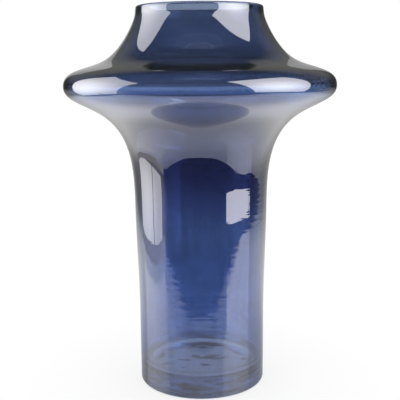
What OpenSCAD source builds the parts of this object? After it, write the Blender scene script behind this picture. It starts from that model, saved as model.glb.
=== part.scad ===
// Glass vase: a tube on a thick heel that opens into a wide thin disc under a short neck.
// Millimetres, +Z up, origin at the middle of the foot. The vase is round about Z.
// Its outline runs from the foot to the lip, and every zone of the glass is turned from a
// stretch of it. The zones meet face to face, as the hot glass joins them.

/* [Heights] */
// Straight stretch of the tube, above the foot
straight_h = 63; // [40:1:100]
// Top of the tube, where the flare begins, above the foot
tube_h = 161; // [130:1:220]
// Rise of the flare, from the tube to the underside of the disc
flare_h = 95.5; // [80:0.5:140]
// Rise of the disc's underside to its widest line
under_h = 23; // [18:0.5:32]
// Rise of the disc's shoulder from its widest line to the neck
shoulder_h = 23.5; // [18:0.5:32]
// Rise of the neck from the shoulder to the top of the lip
neck_h = 47; // [38:1:80]

/* [Diameters] */
// Outer diameter at the foot
foot_d = 118.5; // [95:0.5:135]
// Outer diameter at the top of the tube
tube_top_d = 123; // [100:0.5:140]
// Outer diameter where the flare meets the disc
flare_d = 188.5; // [170:0.5:205]
// Outer diameter of the disc at its widest line
disc_d = 247; // [230:0.5:280]
// Outer diameter where the shoulder meets the neck
shoulder_d = 171; // [150:0.5:190]
// Outer diameter of the mouth
mouth_d = 115; // [90:0.5:135]

/* [Curves] */
// Outward lean of the tube's wall at its top, in degrees
tube_lean = 0.8; // [0:0.1:3]
// Slope of the disc's underside where the flare meets it, in degrees above level
under_slope = 30; // [24:1:38]
// Slope of the shoulder where the neck begins, in degrees above level
shoulder_slope = 31; // [24:1:38]
// Inward lean of the lip, in degrees
lip_lean = 6; // [0:0.5:12]
// Reach of the flare's curve at the tube, as a share of the flare's straight length
flare_low_share = 0.39; // [0.3:0.01:0.5]
// Reach of the flare's curve at the disc, as a share of the same length
flare_high_share = 0.38; // [0.3:0.01:0.5]
// Reach of the underside's curve at the flare, as a share of the underside's straight length
under_share = 0.48; // [0.38:0.01:0.58]
// Reach of the underside's curve at the widest line, as a share of the same length
rim_low_share = 0.30; // [0.22:0.01:0.38]
// Reach of the shoulder's curve at the widest line, as a share of the shoulder's straight length
rim_high_share = 0.36; // [0.26:0.01:0.44]
// Reach of the shoulder's curve at the neck, as a share of the same length
shoulder_share = 0.38; // [0.28:0.01:0.5]
// Reach of the neck's curve at the shoulder, as a share of the neck's straight length
neck_low_share = 0.36; // [0.25:0.01:0.45]
// Reach of the neck's curve at the lip, as a share of the same length
neck_high_share = 0.14; // [0.08:0.01:0.3]

/* [Glass] */
// Thickness of the solid heel, from the foot to the inner floor
heel_t = 19; // [12:0.5:30]
// Wall of the tube
tube_wall = 4.5; // [3:0.1:6]
// Wall of the disc, where the glass is blown thinnest
disc_wall = 3.5; // [2.5:0.1:4.5]
// Wall at the lip
lip_wall = 4; // [3:0.1:5.5]
// Height of the lip's straight side, below its round top
lip_h = 5; // [3:0.5:10]
// Radius of the corner between the inner floor and the wall
floor_corner_r = 8; // [4:0.5:14]
// Radius of the outer edge at the foot
foot_edge_r = 2; // [1:0.25:4]
// Thickness of the lustre coat, a stand-in for a film that is far thinner
coat_t = 0.2; // [0.1:0.05:0.4]

/* [Hidden] */
$fn = 128;

// Colours of the clear glass and of the coat
glass_colour = [0.66, 0.72, 0.80, 0.5];
coat_colour = [0.20, 0.27, 0.46, 0.7];

// Steps along each curved stretch of the outline, and round each small edge
curve_steps = 14;
edge_steps = 6;

// Heights that each build on the one below
flare_top_z = tube_h + flare_h;
widest_z = flare_top_z + under_h;
shoulder_z = widest_z + shoulder_h;
vase_h = shoulder_z + neck_h;

// Radius of the glass at the foot, inside the coat, and of the bore above the floor
foot_r = foot_d / 2 - coat_t;
bore_r = foot_r - tube_wall;

// Directions as radius and height: up, up and outward, up and inward
up = [0, 1];
function outward(angle) = [cos(angle), sin(angle)];
function inward(angle) = [-cos(angle), sin(angle)];
tube_dir = outward(90 - tube_lean);
under_dir = outward(under_slope);
shoulder_dir = inward(shoulder_slope);
lip_dir = inward(90 - lip_lean);

// Direction square to a heading, into the wall
function into_wall(dir) = [-dir[1], dir[0]];

// Places on the outline where one stretch ends and the next begins
straight_pt = [foot_d / 2, straight_h];
tube_pt = [tube_top_d / 2, tube_h];
flare_pt = [flare_d / 2, flare_top_z];
widest_pt = [disc_d / 2, widest_z];
shoulder_pt = [shoulder_d / 2, shoulder_z];
crown_depth = coat_t + lip_wall / 2;
crown_drop = crown_depth * into_wall(lip_dir)[1];
lip_top_pt = [mouth_d / 2, vase_h - lip_wall / 2 - crown_drop];
lip_pt = lip_top_pt - lip_dir * lip_h;

// Four control points of a curve that leaves and arrives along given directions
function stretch(from, dir_from, share_from, to, dir_to, share_to) =
    let (length = norm(to - from))
    [from, from + dir_from * length * share_from, to - dir_to * length * share_to, to];

// The outline's curved stretches, from the foot up
even_share = 1 / 3;
tube_curve = stretch(straight_pt, up, even_share, tube_pt, tube_dir, even_share);
flare_curve = stretch(tube_pt, tube_dir, flare_low_share, flare_pt, under_dir, flare_high_share);
under_curve = stretch(flare_pt, under_dir, under_share, widest_pt, up, rim_low_share);
over_curve = stretch(widest_pt, up, rim_high_share, shoulder_pt, shoulder_dir, shoulder_share);
neck_curve = stretch(shoulder_pt, shoulder_dir, neck_low_share, lip_pt, lip_dir, neck_high_share);

// Point of a curve at a share t of its way, and its heading there
function point_at(c, t) =
    pow(1 - t, 3) * c[0] + 3 * pow(1 - t, 2) * t * c[1]
        + 3 * (1 - t) * t * t * c[2] + t * t * t * c[3];
function heading_at(c, t) =
    let (v = pow(1 - t, 2) * (c[1] - c[0]) + 2 * (1 - t) * t * (c[2] - c[1])
        + t * t * (c[3] - c[2]))
    v / norm(v);

// A curve moved into the wall by a depth that runs evenly from first to last
function inset(curve, first, last) = [for (i = [0:curve_steps])
    let (t = i / curve_steps)
    point_at(curve, t) + into_wall(heading_at(curve, t)) * (first + (last - first) * t)];

// Points of an arc, from one angle to another
function arc(centre, radius, from, to) = [for (i = [0:edge_steps])
    let (angle = from + (to - from) * i / edge_steps)
    centre + radius * [cos(angle), sin(angle)]];

function backwards(points) = [for (i = [len(points) - 1:-1:0]) points[i]];

// A closed wall turned round Z, from its outer points and its inner points, both going up
module turned_wall(outer, inner) {
    rotate_extrude()
        polygon(concat(outer, backwards(inner)));
}

// Solid heel under the inner floor, with its outer edge rounded at the foot
module heel() {
    edge_centre = [foot_r - foot_edge_r, foot_edge_r];
    outer = concat(arc(edge_centre, foot_edge_r, -90, 0), [[foot_r, heel_t]]);
    color(glass_colour)
        turned_wall(outer, [[0, 0], [0, heel_t]]);
}

// Wall of the tube, from the heel to the flare, with the rounded corner of the inner floor
module tube() {
    corner_centre = [bore_r - floor_corner_r, heel_t + floor_corner_r];
    depth = coat_t + tube_wall;
    outer = concat([[foot_r, heel_t]], inset(tube_curve, coat_t, coat_t));
    inner = concat(arc(corner_centre, floor_corner_r, -90, 0), inset(tube_curve, depth, depth));
    color(glass_colour)
        turned_wall(outer, inner);
}

// Wall that bends out from the tube to the underside of the disc
module flare() {
    color(glass_colour)
        turned_wall(
            inset(flare_curve, coat_t, coat_t),
            inset(flare_curve, coat_t + tube_wall, coat_t + disc_wall));
}

// Hollow disc: its underside and its shoulder in one wall, round the widest line
module disc() {
    depth = coat_t + disc_wall;
    color(glass_colour)
        turned_wall(
            concat(inset(under_curve, coat_t, coat_t), inset(over_curve, coat_t, coat_t)),
            concat(inset(under_curve, depth, depth), inset(over_curve, depth, depth)));
}

// Neck, drawn in from the shoulder to the lip
module neck() {
    color(glass_colour)
        turned_wall(
            inset(neck_curve, coat_t, coat_t),
            inset(neck_curve, coat_t + disc_wall, coat_t + lip_wall));
}

// Lip, a short ring with its top melted round
module lip() {
    wall_dir = into_wall(lip_dir);
    crown_centre = lip_top_pt + wall_dir * crown_depth;
    crown = arc(crown_centre, lip_wall / 2, lip_lean, 180 + lip_lean);
    color(glass_colour)
        turned_wall(
            concat([lip_pt + wall_dir * coat_t], crown),
            [lip_pt + wall_dir * (coat_t + lip_wall)]);
}

// Lustre coat over the whole outside, from the foot's edge to the lip's round top
module lustre_coat() {
    curves = [tube_curve, flare_curve, under_curve, over_curve, neck_curve];
    outer = [for (curve = curves) for (p = inset(curve, 0, 0)) p];
    inner = [for (curve = curves) for (p = inset(curve, coat_t, coat_t)) p];
    color(coat_colour)
        turned_wall(
            concat([[foot_d / 2, foot_edge_r]], outer, [lip_top_pt]),
            concat([[foot_r, foot_edge_r]], inner, [lip_top_pt + into_wall(lip_dir) * coat_t]));
}

heel();
tube();
flare();
disc();
neck();
lip();
lustre_coat();
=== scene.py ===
# Blue lustre vase: a straight tube on a thick heel that opens into a wide hollow disc under a
# short neck. It is one wall of clear glass, with a thin see-through lustre fired on the outside.
import math

import bpy
from mathutils import Matrix, Vector


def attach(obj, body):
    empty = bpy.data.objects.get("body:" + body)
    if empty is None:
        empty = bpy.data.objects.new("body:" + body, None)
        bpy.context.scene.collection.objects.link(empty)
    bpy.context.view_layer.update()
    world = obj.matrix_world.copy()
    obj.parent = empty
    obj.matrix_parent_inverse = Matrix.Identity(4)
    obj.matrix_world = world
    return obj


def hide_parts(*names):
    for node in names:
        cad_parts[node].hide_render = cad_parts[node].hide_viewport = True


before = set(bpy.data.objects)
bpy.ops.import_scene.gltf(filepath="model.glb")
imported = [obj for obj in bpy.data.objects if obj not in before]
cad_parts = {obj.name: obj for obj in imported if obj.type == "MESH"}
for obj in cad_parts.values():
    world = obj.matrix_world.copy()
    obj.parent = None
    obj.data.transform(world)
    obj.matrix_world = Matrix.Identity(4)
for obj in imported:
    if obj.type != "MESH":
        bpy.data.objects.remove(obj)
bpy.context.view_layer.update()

# Heights of the vase, in metres
straight_h = 0.063
tube_h = 0.161
flare_h = 0.0955
under_h = 0.023
shoulder_h = 0.0235
neck_h = 0.047
flare_top_z = tube_h + flare_h
widest_z = flare_top_z + under_h
shoulder_z = widest_z + shoulder_h
vase_h = shoulder_z + neck_h

# Outer diameters
foot_d = 0.1185
tube_top_d = 0.123
flare_d = 0.1885
disc_d = 0.247
shoulder_d = 0.171
mouth_d = 0.115

# Leans and slopes, in degrees
tube_lean = 0.8
under_slope = 30
shoulder_slope = 31
lip_lean = 6

# Reach of each curve at its lower and at its upper end, as a share of its straight length
tube_reach = (1 / 3, 1 / 3)
flare_reach = (0.39, 0.38)
under_reach = (0.48, 0.30)
over_reach = (0.36, 0.38)
neck_reach = (0.36, 0.14)

# Glass thicknesses and small radii
heel_t = 0.019
tube_wall = 0.0045
disc_wall = 0.0035
lip_wall = 0.004
lip_h = 0.005
floor_corner_r = 0.008
foot_edge_r = 0.002
coat_t = 0.0002
bore_r = foot_d / 2 - coat_t - tube_wall

# How finely the wall is turned: sides, spaces between the rows, and steps round small edges
turned_sides = 176
coated_row = 0.0013
inner_row = 0.0036
foot_row = 0.0025
floor_row = 0.0022
corner_steps = 12
lip_steps = 14
# The foot's rounded edge, bare below and coated above: first and last angle, and steps
bare_edge = (-90, -20, 5)
coated_edge = (-10, 0, 1)
# Least share of a face's corners that are coated where the face is
coated_share = 0.4

# Marks that the blowing left. Rings round the tube: how fast they change round it against up
# it, where they begin to fade and are gone, and their least depth between two deepest sides
ring_height = 0.00014
ring_spacing = 0.009
ring_slowness = 0.06
ring_top = tube_h * 0.7
ring_end_share = 1.3
deep_side = math.radians(20)
shallow_side = 0.1
# Slow waves in the wall, weaker on the disc and neck
wave_height = 0.00005
wave_length = 0.045
disc_waves = 0.15
# Swirls on the inner floor, and deeper and a little wider ones that hollow the underside
swirl_height = 0.0024
swirl_length = 0.014
swirl_detail = 0.6
swirl_edge_share = 0.75
floor_swirls = 0.3
underside_wider = 0.1
pattern_seed = 3.7


def outward(angle):
    """Heading in the outline's plane, as radius and height, that leans out from level."""
    return Vector((math.cos(math.radians(angle)), math.sin(math.radians(angle))))


def inward(angle):
    """The same heading, leaning in over the axis."""
    return Vector((-math.cos(math.radians(angle)), math.sin(math.radians(angle))))


def into_wall(heading):
    """Direction square to a heading, into the wall."""
    return Vector((-heading.y, heading.x))


def stretch(start, start_dir, end, end_dir, reach):
    """Four control points of a curve that leaves and arrives along given headings."""
    length = (end - start).length
    return (start, start + start_dir * length * reach[0], end - end_dir * length * reach[1], end)


def point_at(curve, t):
    """Point of a curve at a share t of its way."""
    a, b, c, d = curve
    s = 1 - t
    return a * s ** 3 + b * 3 * s * s * t + c * 3 * s * t * t + d * t ** 3


def heading_at(curve, t):
    """Heading of a curve at a share t of its way."""
    a, b, c, d = curve
    s = 1 - t
    return ((b - a) * s * s + (c - b) * 2 * s * t + (d - c) * t * t).normalized()


def inset(curve, row, first, last):
    """Points along a curve, moved into the wall by a depth that runs from first to last."""
    steps = max(4, round((curve[3] - curve[0]).length / row))
    shares = [i / steps for i in range(steps + 1)]
    return [point_at(curve, t) + into_wall(heading_at(curve, t)) * (first + (last - first) * t)
            for t in shares]


def arc(centre, radius, start, end, steps):
    """Points of an arc, from one angle in degrees to another."""
    return [centre + radius * outward(start + (end - start) * i / steps)
            for i in range(steps + 1)]


def straight_run(start, end, row):
    """Points of a straight line, about a row's space apart."""
    steps = max(2, round((end - start).length / row))
    return [start.lerp(end, i / steps) for i in range(steps + 1)]


def outer_curves():
    """The outline's curved stretches, from the tube to the lip, and the lip's straight side as
    its lower point, its upper point and its heading."""
    up = Vector((0, 1))
    tube_dir = outward(90 - tube_lean)
    under_dir = outward(under_slope)
    shoulder_dir = inward(shoulder_slope)
    lip_dir = inward(90 - lip_lean)
    crown_depth = coat_t + lip_wall / 2
    crown_drop = crown_depth * into_wall(lip_dir).y
    lip_top = Vector((mouth_d / 2, vase_h - lip_wall / 2 - crown_drop))
    lip_low = lip_top - lip_dir * lip_h
    straight_pt = Vector((foot_d / 2, straight_h))
    tube_pt = Vector((tube_top_d / 2, tube_h))
    flare_pt = Vector((flare_d / 2, flare_top_z))
    widest_pt = Vector((disc_d / 2, widest_z))
    shoulder_pt = Vector((shoulder_d / 2, shoulder_z))
    curves = {
        "tube": stretch(straight_pt, up, tube_pt, tube_dir, tube_reach),
        "flare": stretch(tube_pt, tube_dir, flare_pt, under_dir, flare_reach),
        "under": stretch(flare_pt, under_dir, widest_pt, up, under_reach),
        "over": stretch(widest_pt, up, shoulder_pt, shoulder_dir, over_reach),
        "neck": stretch(shoulder_pt, shoulder_dir, lip_low, lip_dir, neck_reach),
    }
    return curves, lip_low, lip_top, lip_dir


def wall_outline():
    """The wall's closed outline, from the middle of the foot up the outside, over the lip and
    down the inside to the middle of the floor. Each point comes with 1 where it is lustred."""
    curves, lip_low, lip_top, lip_dir = outer_curves()
    thickness = {
        "tube": (tube_wall, tube_wall),
        "flare": (tube_wall, disc_wall),
        "under": (disc_wall, disc_wall),
        "over": (disc_wall, disc_wall),
        "neck": (disc_wall, lip_wall),
    }
    foot_r = foot_d / 2
    edge_centre = Vector((foot_r - foot_edge_r, foot_edge_r))
    bare = straight_run(Vector((0, 0)), Vector((foot_r - foot_edge_r, 0)), foot_row)
    bare += arc(edge_centre, foot_edge_r, *bare_edge)
    coated = arc(edge_centre, foot_edge_r, *coated_edge)
    coated += straight_run(Vector((foot_r, foot_edge_r)), Vector((foot_r, straight_h)),
                           coated_row)
    for name in thickness:
        coated += inset(curves[name], coated_row, 0, 0)
    coated += [lip_low.lerp(lip_top, share) for share in (0.25, 0.5, 0.75, 1)]
    crown_r = (coat_t + lip_wall) / 2
    crown_centre = lip_top + into_wall(lip_dir) * crown_r
    lip = arc(crown_centre, crown_r, lip_lean, 180 + lip_lean, lip_steps)
    corner_centre = Vector((bore_r - floor_corner_r, heel_t + floor_corner_r))
    inner = straight_run(Vector((0, heel_t)), Vector((bore_r - floor_corner_r, heel_t)),
                         floor_row)
    inner += arc(corner_centre, floor_corner_r, -90, 0, corner_steps)
    inner += straight_run(Vector((bore_r, heel_t + floor_corner_r)),
                          Vector((bore_r, straight_h)), inner_row)
    for name, (first, last) in thickness.items():
        inner += inset(curves[name], inner_row, coat_t + first, coat_t + last)
    path = [(p, 0) for p in bare] + [(p, 1) for p in coated] + [(p, 0) for p in lip]
    path += [(p, 0) for p in reversed(inner)]
    least_space = foot_edge_r / 50
    kept = [path[0]]
    for point, lustre in path[1:]:
        if (point - kept[-1][0]).length > least_space:
            kept.append((point, lustre))
    return kept


def outline_object(points):
    """The outline as an open line of points in the XZ plane, with its lustre mark."""
    mesh = bpy.data.meshes.new("wall_outline")
    edges = [(i, i + 1) for i in range(len(points) - 1)]
    mesh.from_pydata([(p.x, 0, p.y) for p, _ in points], edges, [])
    mark = mesh.attributes.new("lustre", "FLOAT", "POINT")
    mark.data.foreach_set("value", [float(lustre) for _, lustre in points])
    obj = bpy.data.objects.new("wall_outline", mesh)
    bpy.context.scene.collection.objects.link(obj)
    return obj


class Tree:
    """Short calls for building a node tree."""

    def __init__(self, tree):
        self.tree = tree

    def node(self, kind, inputs=None, **settings):
        """Adds a node, sets its settings, then links or sets its inputs by name or place."""
        made = self.tree.nodes.new(kind)
        for name, value in settings.items():
            setattr(made, name, value)
        for key, value in (inputs or {}).items():
            socket = made.inputs[key]
            if isinstance(value, bpy.types.NodeSocket):
                self.tree.links.new(value, socket)
            else:
                socket.default_value = value
        return made

    def maths(self, operation, a, b=0.0):
        """Result of one sum on one or two values."""
        return self.node("ShaderNodeMath", {0: a, 1: b}, operation=operation).outputs[0]

    def plus(self, a, b):
        """Sum of two values."""
        return self.maths("ADD", a, b)

    def minus(self, a, b):
        """The first value less the second."""
        return self.maths("SUBTRACT", a, b)

    def times(self, first, *others):
        """Product of two or more values."""
        for other in others:
            first = self.maths("MULTIPLY", first, other)
        return first

    def vector(self, operation, a, b):
        """Result of one sum on two vectors."""
        return self.node("ShaderNodeVectorMath", {0: a, 1: b}, operation=operation).outputs[0]

    def noise(self, place, scale, detail=1.0):
        """Noise about zero, from -0.5 to 0.5, at a place."""
        made = self.node("ShaderNodeTexNoise", {"Vector": place, "Scale": scale,
                                                "Detail": detail})
        return self.minus(made.outputs[0], 0.5)

    def ramp(self, value, low, high, start=0.0, end=1.0):
        """The start at low, the end at high, and smooth between them."""
        made = self.node("ShaderNodeMapRange", {
            "Value": value, "From Min": low, "From Max": high, "To Min": start, "To Max": end},
            interpolation_type="SMOOTHSTEP")
        return made.outputs[0]

    def band(self, value, rise, fall):
        """1 between a rise and a fall, each a low and a high end, and 0 outside them."""
        return self.times(self.ramp(value, *rise), self.ramp(value, *fall, 1.0, 0.0))

    def parts(self, vector):
        """X, Y and Z of a vector."""
        return self.node("ShaderNodeSeparateXYZ", {0: vector}).outputs

    def object_place(self):
        """The shaded point's place on its object."""
        return self.node("ShaderNodeTexCoord").outputs["Object"]

    def scaled(self, place, across, upward):
        """A place with its level parts and its height scaled."""
        return self.node("ShaderNodeMapping", {
            "Vector": place, "Scale": (across, across, upward)}).outputs[0]


def wall_inputs(tree):
    """Gives the turning tree its named inputs and its output, and returns the identifiers."""
    kinds = {"Outline": "Geometry", "Sides": "Int", "Clear": "Material", "Lustre": "Material",
             "Ground": "Material"}
    sizes = ("Ring height", "Ring spacing", "Ring top", "Wave height", "Wave length",
             "Swirl height", "Swirl length", "Swirl radius", "Seed")
    kinds.update({size: "Float" for size in sizes})
    sockets = {}
    # The outline comes first, because a modifier hands its own mesh to the first input
    for name, kind in kinds.items():
        made = tree.interface.new_socket(name, in_out="INPUT",
                                         socket_type="NodeSocket" + kind)
        sockets[name] = made.identifier
    tree.interface.new_socket("Wall", in_out="OUTPUT", socket_type="NodeSocketGeometry")
    return sockets


def ring_rise(t, given, seeded, height, turn):
    """Rings: quick along Z, slow round the tube, and faded out towards the flare."""
    slowly = t.vector("MULTIPLY", seeded, (ring_slowness, ring_slowness, 1.0))
    ring = t.maths("ABSOLUTE", t.noise(slowly, t.maths("DIVIDE", 1.0, given["Ring spacing"]),
                                       2.0))
    fade = t.ramp(height, given["Ring top"], t.times(given["Ring top"], ring_end_share),
                  1.0, 0.0)
    side = t.maths("COSINE", t.plus(turn, deep_side))
    side = t.plus(t.times(side, side, 1 - shallow_side), shallow_side)
    return t.times(ring, given["Ring height"], fade, side)


def wave_rise(t, given, seeded, height):
    """Slow waves over the whole wall."""
    wave = t.noise(seeded, t.maths("DIVIDE", 1.0, given["Wave length"]), 0.0)
    calm = t.ramp(height, flare_top_z - under_h, flare_top_z, 1.0, disc_waves)
    return t.times(wave, given["Wave height"], calm)


def swirl_rise(t, given, seeded, radius, height):
    """Swirls on the inner floor, and on the underside, which they only hollow."""
    beneath = t.maths("LESS_THAN", height, foot_edge_r)
    swirl = t.noise(seeded, t.maths("DIVIDE", 1.0, given["Swirl length"]), swirl_detail)
    swirl = t.plus(swirl, t.times(beneath, 0.5))
    depth = t.plus(t.times(beneath, 1 - floor_swirls), floor_swirls)
    reach = t.times(given["Swirl radius"], t.plus(t.times(beneath, underside_wider), 1.0))
    inside = t.ramp(radius, t.times(reach, swirl_edge_share), reach, 1.0, 0.0)
    return t.times(swirl, depth, given["Swirl height"], inside)


def turning_tree():
    """Geometry Nodes tree that turns an outline into a closed wall round Z, with the rings,
    waves and swirls of blown glass, and gives its faces their three finishes."""
    tree = bpy.data.node_groups.new("turned_glass_wall", "GeometryNodeTree")
    tree.is_modifier = True
    sockets = wall_inputs(tree)
    t = Tree(tree)
    given = tree.nodes.new("NodeGroupInput").outputs

    # A sheet of points, one column for each side and one row for each point of the outline
    rows = t.node("GeometryNodeAttributeDomainSize", {"Geometry": given["Outline"]},
                  component="MESH").outputs["Point Count"]
    sheet = t.node("GeometryNodeMeshGrid", {"Vertices X": t.plus(given["Sides"], 1),
                                            "Vertices Y": rows}).outputs["Mesh"]
    index = t.node("GeometryNodeInputIndex").outputs[0]
    column = t.maths("FLOOR", t.maths("DIVIDE", t.plus(index, 0.5), rows))
    row = t.minus(index, t.times(column, rows))
    turn = t.maths("DIVIDE", t.times(column, 2 * math.pi), given["Sides"])

    # The outline's point and lustre mark for each row
    place = t.node("GeometryNodeInputPosition").outputs[0]
    mark = t.node("GeometryNodeInputNamedAttribute", {"Name": "lustre"},
                  data_type="FLOAT").outputs["Attribute"]
    on_line = {"Geometry": given["Outline"], "Index": row}
    point = t.node("GeometryNodeSampleIndex", {**on_line, "Value": place},
                   data_type="FLOAT_VECTOR", domain="POINT").outputs["Value"]
    lustre = t.node("GeometryNodeSampleIndex", {**on_line, "Value": mark},
                    data_type="FLOAT", domain="POINT").outputs["Value"]
    radius, height = t.parts(point)["X"], t.parts(point)["Z"]

    # Its turned place, first plain, then with the marks of the blowing
    cosine, sine = t.maths("COSINE", turn), t.maths("SINE", turn)
    plain = t.node("ShaderNodeCombineXYZ", {
        0: t.times(radius, cosine), 1: t.times(radius, sine), 2: height}).outputs[0]
    seeded = t.vector("ADD", plain, t.node("ShaderNodeCombineXYZ", {
        0: given["Seed"], 1: given["Seed"]}).outputs[0])
    ring = t.times(ring_rise(t, given, seeded, height, turn), lustre)
    off_axis = t.ramp(radius, 0.0, given["Wave length"])
    rise = t.times(t.plus(ring, wave_rise(t, given, seeded, height)), off_axis)
    grown = t.plus(radius, rise)
    final = t.node("ShaderNodeCombineXYZ", {
        0: t.times(grown, cosine), 1: t.times(grown, sine),
        2: t.plus(height, swirl_rise(t, given, seeded, radius, height))}).outputs[0]
    placed = t.node("GeometryNodeSetPosition", {"Geometry": sheet, "Position": final}).outputs[0]
    noted = t.node("GeometryNodeStoreNamedAttribute",
                   {"Geometry": placed, "Name": "lustre", "Value": lustre},
                   data_type="FLOAT", domain="POINT").outputs[0]

    # The seam and the two middles are closed, and the faces get their finishes
    closed = t.node("GeometryNodeMergeByDistance",
                    {"Geometry": noted, "Distance": foot_edge_r / 1000}).outputs[0]
    smooth = t.node("GeometryNodeSetShadeSmooth", {"Geometry": closed}).outputs[0]
    real = t.node("GeometryNodeRealizeInstances", {"Geometry": smooth}).outputs[0]
    lustred = t.maths("GREATER_THAN", mark, coated_share)
    beneath = t.maths("LESS_THAN", t.parts(place)["Z"], foot_edge_r / 2)
    wall = t.node("GeometryNodeSetMaterial",
                  {"Geometry": real, "Material": given["Clear"]}).outputs[0]
    for chosen, finish in ((lustred, "Lustre"), (beneath, "Ground")):
        wall = t.node("GeometryNodeSetMaterial", {
            "Geometry": wall, "Selection": chosen, "Material": given[finish]}).outputs[0]
    tree.links.new(wall, tree.nodes.new("NodeGroupOutput").inputs["Wall"])
    return tree, sockets


def turned_wall(clear, lustre, ground):
    """The whole vase as one closed wall of glass."""
    line = outline_object(wall_outline())
    tree, sockets = turning_tree()
    turning = line.modifiers.new("turning", "NODES")
    turning.node_group = tree
    values = {
        "Sides": turned_sides, "Ring height": ring_height, "Ring spacing": ring_spacing,
        "Ring top": ring_top, "Wave height": wave_height, "Wave length": wave_length,
        "Swirl height": swirl_height, "Swirl length": swirl_length,
        "Swirl radius": foot_d / 2 - tube_wall - floor_corner_r, "Seed": pattern_seed,
        "Clear": clear, "Lustre": lustre, "Ground": ground,
    }
    for name, value in values.items():
        turning[sockets[name]] = value
    depsgraph = bpy.context.evaluated_depsgraph_get()
    mesh = bpy.data.meshes.new_from_object(line.evaluated_get(depsgraph))
    line.modifiers.remove(turning)
    bpy.data.objects.remove(line)
    mesh.name = "vase_wall"
    if signed_volume(mesh) < 0:
        mesh.flip_normals()
    wall = bpy.data.objects.new("vase_wall", mesh)
    bpy.context.scene.collection.objects.link(wall)
    return wall


def signed_volume(mesh):
    """Volume inside a mesh, below zero where its faces point inwards."""
    total = 0.0
    mesh.calc_loop_triangles()
    for tri in mesh.loop_triangles:
        a, b, c = (mesh.vertices[i].co for i in tri.vertices)
        total += a.dot(b.cross(c)) / 6
    return total


# Index of the glass and of the lustre, and the share of light that one clear face lets through
glass_ior = 1.5
lustre_ior = 3.4
clear_face_share = 0.96

# Unevenness of the bare glass: slow waves, a dull floor corner, and a worn underside
bare_wave_scale = 60.0
bare_wave_strength = 0.04
bare_wave_depth = 0.001
corner_dullness = 0.40
worn_scale = 60.0
worn_roughness = 0.07
worn_change = 0.5
# Radii between which the dull corner begins, and heights between which it ends
dull_starts = (bore_r - 1.6 * floor_corner_r, bore_r - 0.8 * floor_corner_r)
dull_ends = (heel_t + 0.6 * floor_corner_r, heel_t + 1.3 * floor_corner_r)

# Heights between which the disc's rim begins, and between which it ends
rim_starts = (widest_z - 0.003, widest_z - 0.001)
rim_ends = (widest_z + 0.002, widest_z + 0.005)

# How much deeper the film looks where it is seen along its length, and more so at the rim
edge_depth = 0.80
rim_edge_depth = 0.6
edge_power = 1.5
least_light = 0.02

# Runs of the lustre, each with its scale, its scale upward and its depth: fine upright streaks,
# broad soft clouds, and level smears round the heel
streak_scale, streak_upward, streak_depth = 230.0, 0.05, 0.7
cloud_scale, cloud_upward, cloud_depth = 26.0, 2.2, 0.8
pool_scale, pool_upward, pool_depth = 45.0, 5.0, 7.0
# What is left of the streaks and clouds on the disc and neck, what the rim adds to the clouds,
# and how far the clouds move the bands that are listed last
even_streaks = 0.1
even_clouds = 0.08
rim_clouds = 0.35
cloud_shift = 0.03
# Heights between which the streaks and clouds lose their strength, and the smears end
uneven_ends = (flare_top_z - flare_h / 4, flare_top_z)
pool_ends = (0.8 * heel_t, 1.3 * heel_t)

# Fine tool marks round the tube, far longer than they are high. They end between two heights,
# and are hardly there on the disc
mark_spacing = 0.0035
mark_depth = 0.0001
mark_across = 0.2
mark_ends = (tube_h, flare_top_z - flare_h / 3)
disc_marks = 0.008
# Their least depth low down, what the deepest places add there, and their least depth higher up
low_marks, low_marks_more = 0.25, 0.70
high_marks = 0.12
# Where the deepest places begin and end, as shares of the radius out from the middle plane, and
# the heights between which the upper ones take over
low_deep_starts, low_deep_ends = (0.05, 0.30), (0.45, 0.62)
high_deep_starts = (0.84, 0.93)
high_starts = (0.90 * tube_h, 0.98 * tube_h)

# The lustre, from the foot up: height, what one coated wall lets through, and what it reflects.
# The film's blue is its own, but what it lets through also holds painted light and shade: a
# painted bright band round the disc's rim, from 0.263 to 0.283, and a painted dark grey band on
# the shoulder under the neck, from 0.293 to 0.301. It is also darker across the flare, from 0.175
# to 0.250.
lustre_and_painted_light_bands = (
    (0.000, (0.150, 0.185, 0.290), 0.20),
    (0.012, (0.196, 0.266, 0.443), 0.22),
    (0.026, (0.176, 0.245, 0.430), 0.23),
    (0.045, (0.186, 0.266, 0.490), 0.24),
    (0.060, (0.177, 0.253, 0.456), 0.25),
    (0.090, (0.158, 0.226, 0.412), 0.30),
    (0.120, (0.169, 0.233, 0.412), 0.30),
    (0.135, (0.171, 0.236, 0.409), 0.30),
    (0.150, (0.170, 0.233, 0.397), 0.30),
    (0.175, (0.112, 0.145, 0.290), 0.30),
    (0.200, (0.080, 0.098, 0.200), 0.30),
    (0.230, (0.088, 0.105, 0.200), 0.30),
    (0.250, (0.070, 0.085, 0.160), 0.30),
    (0.263, (0.172, 0.252, 0.450), 0.30),
    (0.269, (0.285, 0.365, 0.560), 0.30),
    (0.274, (0.335, 0.448, 0.690), 0.30),
    (0.278, (0.345, 0.425, 0.620), 0.30),
    (0.283, (0.152, 0.195, 0.305), 0.30),
    (0.288, (0.200, 0.250, 0.380), 0.30),
    (0.292, (0.185, 0.230, 0.350), 0.30),
    (0.293, (0.060, 0.064, 0.062), 0.30),
    (0.298, (0.066, 0.070, 0.068), 0.30),
    (0.301, (0.115, 0.140, 0.195), 0.30),
    (0.315, (0.155, 0.195, 0.300), 0.30),
    (0.350, (0.168, 0.215, 0.325), 0.30),
)


def glass(name):
    """A glass material with no colour of its own, its shader, and its tree."""
    made = bpy.data.materials.new(name)
    made.use_nodes = True
    shader = made.node_tree.nodes["Principled BSDF"]
    shader.inputs["Base Color"].default_value = (1, 1, 1, 1)
    shader.inputs["Transmission Weight"].default_value = 1
    shader.inputs["Roughness"].default_value = 0
    shader.inputs["IOR"].default_value = glass_ior
    return made, shader, Tree(made.node_tree)


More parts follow.
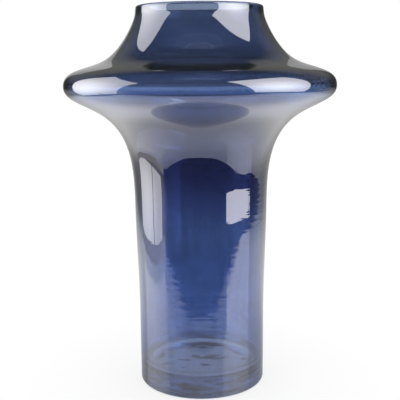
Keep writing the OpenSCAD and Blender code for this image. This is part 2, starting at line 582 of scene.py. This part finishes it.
def clear_glass():
    """Bare fire-polished glass: the inside, the lip and the foot's lowest edge."""
    made, shader, t = glass("clear_glass")
    place = t.object_place()
    # In the floor's corner it is a little dull, where no flame reaches to polish it
    at = t.parts(place)
    out = t.maths("SQRT", t.plus(t.times(at["X"], at["X"]), t.times(at["Y"], at["Y"])))
    near_wall = t.ramp(out, *dull_starts)
    near_floor = t.ramp(at["Z"], *dull_ends, 1.0, 0.0)
    made.node_tree.links.new(t.times(near_wall, near_floor, corner_dullness),
                             shader.inputs["Roughness"])
    waves = t.noise(place, bare_wave_scale)
    bump = t.node("ShaderNodeBump", {"Strength": bare_wave_strength,
                                     "Distance": bare_wave_depth, "Height": waves})
    made.node_tree.links.new(bump.outputs[0], shader.inputs["Normal"])
    return made


def ground_glass():
    """The underside of the foot, ground level and unevenly frosted."""
    made, shader, t = glass("ground_glass")
    worn = t.noise(t.object_place(), worn_scale, 3.0)
    made.node_tree.links.new(t.plus(t.times(worn, worn_change), worn_roughness),
                             shader.inputs["Roughness"])
    return made


def film_ramps(t, share):
    """Colour of the film and its mirror strength, by height as a share of the vase's. The colour
    is the square of what one coated wall lets through in the bands, with their painted light and
    shade, and with what the mirror and the two faces of the glass take divided out."""
    tint = t.node("ShaderNodeValToRGB", {"Fac": share})
    mirror = t.node("ShaderNodeValToRGB", {"Fac": share})
    full_mirror = ((lustre_ior - 1) / (lustre_ior + 1)) ** 2
    for ramp in (tint.color_ramp, mirror.color_ramp):
        while len(ramp.elements) < len(lustre_and_painted_light_bands):
            ramp.elements.new(1.0)
    for i, (band_z, through, back) in enumerate(lustre_and_painted_light_bands):
        passed = (1 - back) * clear_face_share ** 2
        colour = [min(1.0, part / passed) ** 2 for part in through]
        weight = min(1.0, back / full_mirror)
        for ramp, value in ((tint.color_ramp, colour), (mirror.color_ramp, [weight] * 3)):
            ramp.elements[i].position = band_z / vase_h
            ramp.elements[i].color = (*value, 1)
    return tint.outputs[0], mirror.outputs[0]


def tool_marks(t, place, height):
    """Fine marks round the tube, which break up the edges of what it mirrors."""
    marks = t.noise(t.scaled(place, mark_across, 1.0), 1 / mark_spacing, 2.0)
    on_tube = t.plus(t.ramp(height, *mark_ends, 1.0, 0.0), disc_marks)
    # Low down they are deepest a little to the left and right of the front and back, and higher
    # up at the two ends of one slanting line
    level = t.vector("MULTIPLY", place, (1.0, 1.0, 0.0))
    level = t.node("ShaderNodeVectorMath", {0: level}, operation="NORMALIZE").outputs[0]
    across = t.maths("ABSOLUTE", t.parts(level)["X"])
    turned = t.node("ShaderNodeVectorRotate", {"Vector": level, "Angle": deep_side},
                    rotation_type="Z_AXIS").outputs[0]
    slanting = t.maths("ABSOLUTE", t.parts(turned)["X"])
    deepest = t.band(across, low_deep_starts, low_deep_ends)
    low_down = t.plus(t.times(deepest, low_marks_more), low_marks)
    high_up = t.plus(t.ramp(slanting, *high_deep_starts), high_marks)
    upper = t.ramp(height, *high_starts)
    depth = t.plus(low_down, t.times(upper, t.minus(high_up, low_down)))
    return t.times(marks, on_tube, depth)


def blue_lustre():
    """Thin metal lustre over glass: see-through blue, half mirror, and uneven as it was fired."""
    made, shader, t = glass("blue_lustre")
    links = made.node_tree.links
    place = t.object_place()
    height = t.parts(place)["Z"]
    # It is uneven up to the flare, and even on the disc and neck, apart from the rim
    uneven = t.ramp(height, *uneven_ends, 1.0, 0.0)
    at_rim = t.band(height, rim_starts, rim_ends)
    at_heel = t.ramp(height, *pool_ends, 1.0, 0.0)
    streaks = t.noise(t.scaled(place, 1.0, streak_upward), streak_scale, 3.0)
    clouds = t.noise(t.scaled(place, 1.0, cloud_upward), cloud_scale, 3.0)
    pools = t.noise(t.scaled(place, 1.0, pool_upward), pool_scale, 2.0)
    shift = t.times(clouds, cloud_shift, uneven)
    # The tint carries the bands' painted light and shade: a bright band round the disc's rim and
    # a dark grey band on the shoulder under the neck
    tint, mirror = film_ramps(t, t.maths("DIVIDE", t.plus(height, shift), vase_h))
    streaks = t.times(streaks, t.plus(t.times(uneven, 1 - even_streaks), even_streaks),
                      streak_depth)
    cloudy = t.plus(t.times(uneven, 1 - even_clouds), t.times(at_rim, rim_clouds))
    clouds = t.times(clouds, t.plus(cloudy, even_clouds), cloud_depth)
    pools = t.times(pools, at_heel, pool_depth)
    runs = t.plus(t.plus(streaks, clouds), pools)
    # The film looks deeper where it is seen along its length
    facing = t.node("ShaderNodeLayerWeight", {"Blend": 0.5}).outputs["Facing"]
    along = t.times(t.maths("POWER", facing, edge_power),
                    t.plus(t.times(at_rim, rim_edge_depth), edge_depth))
    light = t.maths("MAXIMUM", t.minus(t.plus(1.0, runs), along), least_light)
    colour = t.node("ShaderNodeVectorMath", {0: tint, "Scale": light}, operation="SCALE")
    links.new(colour.outputs[0], shader.inputs["Base Color"])
    links.new(mirror, shader.inputs["Coat Weight"])
    bump = t.node("ShaderNodeBump", {"Strength": 1.0, "Distance": mark_depth,
                                     "Height": tool_marks(t, place, height)})
    links.new(bump.outputs[0], shader.inputs["Normal"])
    links.new(bump.outputs[0], shader.inputs["Coat Normal"])
    shader.inputs["Coat IOR"].default_value = lustre_ior
    shader.inputs["Coat Roughness"].default_value = 0
    return made


vase = turned_wall(clear_glass(), blue_lustre(), ground_glass())
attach(vase, "root")
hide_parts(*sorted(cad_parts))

# The studio: a glossy white table top that dips at its front edge, a white backdrop, two soft
# panels and the dim room round them. Light that the glass has mirrored meets the room, while
# light that goes straight through the glass meets plain white, as the camera does.
white = (1, 1, 1)
panel_colour = (1, 0.99, 1.01)
rail_glow = 0.38
rail_colour = (1.0, 0.95, 0.91)

# The backdrop's place, and its light: the brightest X, and the fall to either side as two
# distances and the share at each
backdrop_y = 1.45
backdrop_left, backdrop_right = -0.66, 0.50
backdrop_low, backdrop_high = 0.0, 0.86
backdrop_glow = 0.62
backdrop_middle = -0.08
backdrop_fall = (0.10, 0.55, 1.0, 0.60)

# The round room, with a plain glow all round it
room_radius = 3.0
room_height = 0.2
room_glow = 0.008
room_colour = (1.02, 1.0, 0.94)
# The grey behind the vase: how fast it grows to the back, heights between which it ends, and
# its loss at eye level
wall_glow = 0.19
wall_power = 1.5
wall_ends = (0.62 * room_radius, 0.85 * room_radius)
eye_starts, eye_ends, eye_loss = (-0.05, 0.10), (0.60, 1.40), 0.75
# The grey low on the left: where it ends to the right, and above
floor_glow = 0.3
floor_right_ends = (-0.95 * room_radius, -0.80 * room_radius)
floor_top_ends = (-0.35, -0.15)

# The table top lies just below the foot, and folds down to its front edge
table_drop = 0.0003
table_fold_y = -0.17
table_edge_y = -0.380
table_dip = 0.050
table_edge_left = -0.50
table_edge_step = 0.0275
table_edge_points = 41
# The edge bows towards the camera, and it has a low rise in front of the vase and a sag on
# either side of that: how far, the middle, and the half width
table_edge_bow = (0.031, 0.1, 0.5)
table_edge_rise = (0.003, 0.0, 0.14)
table_edge_sag = (0.005, 0.17, 0.08)

# The table's light in view, and its share of that under the foot, where its glow is painted
# darker as shade, with the radii between which the painted shade under the foot ends
table_glow_share = 0.6
table_lift = 0.12
foot_shade = 0.54
shade_ends = (foot_d * 0.35, foot_d * 0.5)
# Its painted light and its colour in reflections, at the front and at the back: dim and bluish
# at the front, a painted blue shade, and near white at the back
front_y, front_light, front_blue_shade = -0.30, 0.33, (0.93, 1.0, 1.30, 1)
back_y, back_light, back_white = 0.28, 0.96, (1.0, 0.99, 0.98, 1)
table_roughness = 0.12
# How that light falls off, in painted shade, to the left in the left panel's shade, in a painted
# shadow close to the vase, and far out, and what it loses to the right in two steps: two places,
# and the share at each
left_shade_fall = (-0.65, -0.45, 0.45, 1.0)
vase_shadow_fall = (0.05, 0.30, 0.75, 1.0)
far_fall = (0.35, 0.95, 1.0, 0.65)
right_loss = (0.05, 0.30, 0.0, 0.03)
far_right_loss = (0.45, 0.80, 0.0, 0.40)


def stage_object(name, corners, faces, material, hidden=()):
    """A piece of the stage, hidden from the kinds of ray named."""
    mesh = bpy.data.meshes.new(name)
    mesh.from_pydata(corners, [], faces)
    mesh.materials.append(material)
    obj = bpy.data.objects.new(name, mesh)
    bpy.context.scene.collection.objects.link(obj)
    for kind in hidden:
        setattr(obj, "visible_" + kind, False)


def bare_material(name):
    """A material with nothing but its output."""
    made = bpy.data.materials.new(name)
    made.use_nodes = True
    made.node_tree.nodes.clear()
    t = Tree(made.node_tree)
    return made, t, t.node("ShaderNodeOutputMaterial").inputs["Surface"]


def mirrored(t):
    """1 for light that the glass has reflected, and 0 for the rest."""
    path = t.node("ShaderNodeLightPath").outputs
    return t.maths("GREATER_THAN", path["Glossy Depth"], 0.5)


def glow_of(t, strength, colour=white):
    """A plain glow."""
    return t.node("ShaderNodeEmission", {"Color": (*colour, 1), "Strength": strength}).outputs[0]


def mirrored_piece(name, corners, faces, strength, colour=white):
    """A glowing piece of the stage that only light from the glass's mirror meets. The strength
    is a number, or a function that makes it in the tree."""
    made, t, surface = bare_material(name)
    clear = t.node("ShaderNodeBsdfTransparent").outputs[0]
    glow = glow_of(t, strength(t) if callable(strength) else strength, colour)
    mixed = t.node("ShaderNodeMixShader", {0: mirrored(t), 1: clear, 2: glow}).outputs[0]
    made.node_tree.links.new(mixed, surface)
    stage_object(name, corners, faces, made, ("camera", "diffuse", "shadow"))


def table_light(t, at, out):
    """Strength of the table's painted light in reflections: from the front to the back, and
    painted dimmer on the far left and right, with the vase's painted shadow close to it, and far
    out."""
    lit = t.node("ShaderNodeMapRange", {
        "Value": at["Y"], "From Min": front_y, "From Max": back_y,
        "To Min": front_light, "To Max": back_light}).outputs[0]
    left = t.ramp(at["X"], *left_shade_fall)
    right = t.plus(t.ramp(at["X"], *right_loss), t.ramp(at["X"], *far_right_loss))
    near = t.ramp(out, *vase_shadow_fall)
    far = t.ramp(out, *far_fall)
    return t.times(lit, left, t.minus(1.0, right), near, far)


def table_material():
    """White acrylic: plain white in view; glossy in reflections, where its glow is painted light,
    dimmer to the front with painted shade.
    """
    made, t, surface = bare_material("white_table")
    place = t.object_place()
    at = t.parts(place)
    out = t.node("ShaderNodeVectorMath", {0: place}, operation="LENGTH").outputs["Value"]
    # In view: white with a soft shadow, and painted shade under the foot, where little light
    # comes
    open_air = t.ramp(out, *shade_ends, foot_shade, 1.0)
    shadowed = t.node("ShaderNodeBsdfDiffuse", {"Color": (0.8, 0.8, 0.8, 1)}).outputs[0]
    plain = t.node("ShaderNodeMixShader", {
        0: table_glow_share, 1: shadowed, 2: glow_of(t, open_air)}).outputs[0]
    path = t.node("ShaderNodeLightPath").outputs
    lift = glow_of(t, t.times(path["Is Camera Ray"], table_lift))
    in_view = t.node("ShaderNodeAddShader", {0: plain, 1: lift}).outputs[0]
    # In reflections: a glow painted with the light on it and its shade, under a soft gloss
    tone = t.node("ShaderNodeMix", {0: t.ramp(at["Y"], front_y, back_y), 6: front_blue_shade,
                                    7: back_white}, data_type="RGBA").outputs[2]
    body = t.node("ShaderNodeEmission", {"Color": tone,
                                         "Strength": table_light(t, at, out)}).outputs[0]
    gloss = t.node("ShaderNodeBsdfGlossy", {"Color": (1, 1, 1, 1),
                                            "Roughness": table_roughness}).outputs[0]
    share = t.node("ShaderNodeFresnel", {"IOR": 1.5}).outputs[0]
    in_mirror = t.node("ShaderNodeMixShader", {0: share, 1: body, 2: gloss}).outputs[0]
    both = t.node("ShaderNodeMixShader", {0: mirrored(t), 1: in_view, 2: in_mirror})
    made.node_tree.links.new(both.outputs[0], surface)
    return made


def hump(x, how_far, middle, half_width):
    """Height of a low round hump at x."""
    return how_far * max(0.0, 1 - ((x - middle) / half_width) ** 2)


def strip_faces(count):
    """Faces between two rows of points, the second row after the first."""
    return [(i, i + 1, count + i + 1, count + i) for i in range(count - 1)]


def white_table():
    """The table top. Its front edge bows towards the camera and dips like a sheet of paper."""
    z = -table_drop
    spots = [table_edge_left + table_edge_step * i for i in range(table_edge_points)]
    front = []
    for x in spots:
        bow, middle, half = table_edge_bow
        lift = hump(x, *table_edge_rise) - hump(abs(x), *table_edge_sag)
        front.append((x, table_edge_y + bow * ((x - middle) / half) ** 2, lift - table_dip))
    fold = [(x, table_fold_y, z) for x in spots]
    right = [(0.62, -0.12, z), (0.65, -0.02, z), (0.71, 0.09, z), (0.76, 0.23, z),
             (0.80, 0.38, z), (0.95, 0.80, z), (1.30, backdrop_y, z)]
    left = [(-1.40, backdrop_y, z), (-1.20, 0.50, z), (-0.75, 0.42, z), (-0.52, 0.30, z),
            (-0.434, 0.02, z), (-0.41, -0.10, z)]
    corners = front + fold + right + left
    faces = strip_faces(len(spots))
    faces.append(tuple(range(len(spots), len(corners))))
    stage_object("white_table", corners, faces, table_material())


def backdrop():
    """The white paper behind the table, brightest just left of the middle."""
    def strength(t):
        """Brightness across the paper."""
        aside = t.maths("ABSOLUTE", t.minus(t.parts(t.object_place())["X"], backdrop_middle))
        return t.times(t.ramp(aside, *backdrop_fall), backdrop_glow)

    corners = [(backdrop_left, backdrop_y, backdrop_low),
               (backdrop_right, backdrop_y, backdrop_low),
               (backdrop_right, backdrop_y, backdrop_high),
               (backdrop_left, backdrop_y, backdrop_high)]
    mirrored_piece("backdrop", corners, [(0, 1, 2, 3)], strength)


def wall_light(t):
    """Dim grey of the room behind the vase and low on the left, dark at the front and above."""
    at = t.parts(t.object_place())
    behind = t.maths("MAXIMUM", t.maths("DIVIDE", at["Y"], room_radius), 0.0)
    below = t.ramp(at["Z"], *wall_ends, 1.0, 0.0)
    eye_level = t.times(t.band(at["Z"], eye_starts, eye_ends), eye_loss)
    grey = t.times(t.maths("POWER", behind, wall_power), t.minus(1.0, eye_level), below,
                   wall_glow)
    left = t.ramp(at["X"], *floor_right_ends, 1.0, 0.0)
    low = t.ramp(at["Z"], *floor_top_ends, 1.0, 0.0)
    return t.plus(t.plus(grey, t.times(left, low, floor_glow)), room_glow)


def studio_room():
    """The round room."""
    steps, rings = 32, 16
    corners = []
    for j in range(rings + 1):
        lean = math.pi * j / rings
        for i in range(steps):
            turn = 2 * math.pi * i / steps
            corners.append((room_radius * math.sin(lean) * math.cos(turn),
                            room_radius * math.sin(lean) * math.sin(turn),
                            room_height + room_radius * math.cos(lean)))
    faces = [(j * steps + i, j * steps + (i + 1) % steps, (j + 1) * steps + (i + 1) % steps,
              (j + 1) * steps + i) for j in range(rings) for i in range(steps)]
    mirrored_piece("studio_room", corners, faces, wall_light, room_colour)


def soft_panel(name, centre, yaw, tilt, roll, across, lower, upper, hot, glow):
    """A soft panel that faces along yaw and leans forward by tilt, turned in its own plane by
    roll, in degrees. Across holds the spans of its two sides from the centre, lower the heights
    along its lower edge from one side to the other, and upper its top. Hot is its brightest
    place as spans, and glow is the brightness there, at its edges, and the reach."""
    yaw, tilt, roll = math.radians(yaw), math.radians(tilt), math.radians(roll)
    facing = Vector((math.cos(yaw) * math.cos(tilt), math.sin(yaw) * math.cos(tilt),
                     -math.sin(tilt)))
    level = Vector((-math.sin(yaw), math.cos(yaw), 0))
    rise = facing.cross(level)
    side = level * math.cos(roll) - rise * math.sin(roll)
    top = rise * math.cos(roll) + level * math.sin(roll)
    middle = Vector(centre)
    step = (across[1] - across[0]) / (len(lower) - 1)
    outline = [(across[0] + step * i, height) for i, height in enumerate(lower)]
    outline += [(across[1], upper), (across[0], upper)]
    corners = [middle + side * a + top * b for a, b in outline]
    bright = middle + side * hot[0] + top * hot[1]
    high, low, reach = glow

    def strength(t):
        """Brightness over the panel."""
        far = t.node("ShaderNodeVectorMath", {0: t.object_place(), 1: bright},
                     operation="DISTANCE").outputs["Value"]
        return t.ramp(far, 0.0, reach, high, low)

    mirrored_piece(name, corners, [tuple(range(len(corners)))], strength, panel_colour)


def dark_strip(name, foot, half, low, high):
    """A thin dark upright in front of a panel, square to the vase: its foot, half its width,
    and the heights of its two ends."""
    up = Vector((0, 0, 1))
    place = Vector((*foot, 0))
    side = place.normalized().cross(up) * half
    corners = [place - side + up * low, place + side + up * low,
               place + side + up * high, place - side + up * high]
    mirrored_piece(name, corners, [(0, 1, 2, 3)], room_glow)


def low_rail():
    """A plain grey rail along the table's left edge."""
    line = [(-0.62, 0.37), (-0.54, 0.31), (-0.47, 0.17), (-0.446, 0.02), (-0.424, -0.10),
            (-0.445, -0.24)]
    corners = [(x, y, z) for z in (-0.06, 0.030) for x, y in line]
    mirrored_piece("low_rail", corners, strip_faces(len(line)), rail_glow, rail_colour)


def white_world():
    """White light from all round."""
    world = bpy.data.worlds.new("white_world")
    world.use_nodes = True
    background = world.node_tree.nodes["Background"]
    background.inputs["Color"].default_value = (1, 1, 1, 1)
    background.inputs["Strength"].default_value = 1.0
    bpy.context.scene.world = world


white_table()
backdrop()
studio_room()
soft_panel("left_panel", centre=(-0.773, -0.067, 0.387), yaw=-17.3, tilt=18.9, roll=-2.3,
           across=(-0.433, 0.45), lower=(-0.600, -0.600), upper=0.563,
           hot=(0.15, -0.06), glow=(2.4, 1.0, 0.62))
soft_panel("right_panel", centre=(0.546, -0.301, 0.421), yaw=156.8, tilt=22.6, roll=2.5,
           across=(-0.375, 0.325), lower=(-0.483, -0.475, -0.470, -0.475, -0.483),
           upper=0.482, hot=(0.0, -0.03), glow=(2.3, 1.3, 0.42))
dark_strip("left_stand", (-0.70, -0.048), half=0.006, low=-0.4, high=0.05)
dark_strip("right_stand", (0.60, -0.045), half=0.003, low=-0.01, high=0.10)
low_rail()
white_world()

# The camera, just above the disc's widest line, looking down at the vase
photo_size = 400
camera_distance = 0.686
camera_height = 0.2984
camera_down = 10.376
camera_roll = 0.459
focal_pixels = 740.8
side_shift_pixels = 0.86
sensor = 36.0


def photo_camera():
    """Camera at the photograph's place and angle."""
    data = bpy.data.cameras.new("camera")
    data.sensor_width = sensor
    data.lens = focal_pixels * sensor / photo_size
    data.shift_x = -side_shift_pixels / photo_size
    data.clip_start = 0.01
    data.clip_end = 100
    camera = bpy.data.objects.new("camera", data)
    bpy.context.scene.collection.objects.link(camera)
    tilt = Matrix.Rotation(math.radians(90 - camera_down), 4, "X")
    roll = Matrix.Rotation(math.radians(-camera_roll), 4, "Z")
    camera.matrix_world = Matrix.Translation((0, -camera_distance, camera_height)) @ tilt @ roll
    bpy.context.scene.camera = camera


photo_camera()

# Light passes many faces of glass on its way, so it is followed for long
scene = bpy.context.scene
scene.view_settings.view_transform = "Standard"
scene.cycles.max_bounces = 24
scene.cycles.transmission_bounces = 24
scene.cycles.glossy_bounces = 12
scene.cycles.transparent_max_bounces = 24
scene.cycles.sample_clamp_indirect = 10
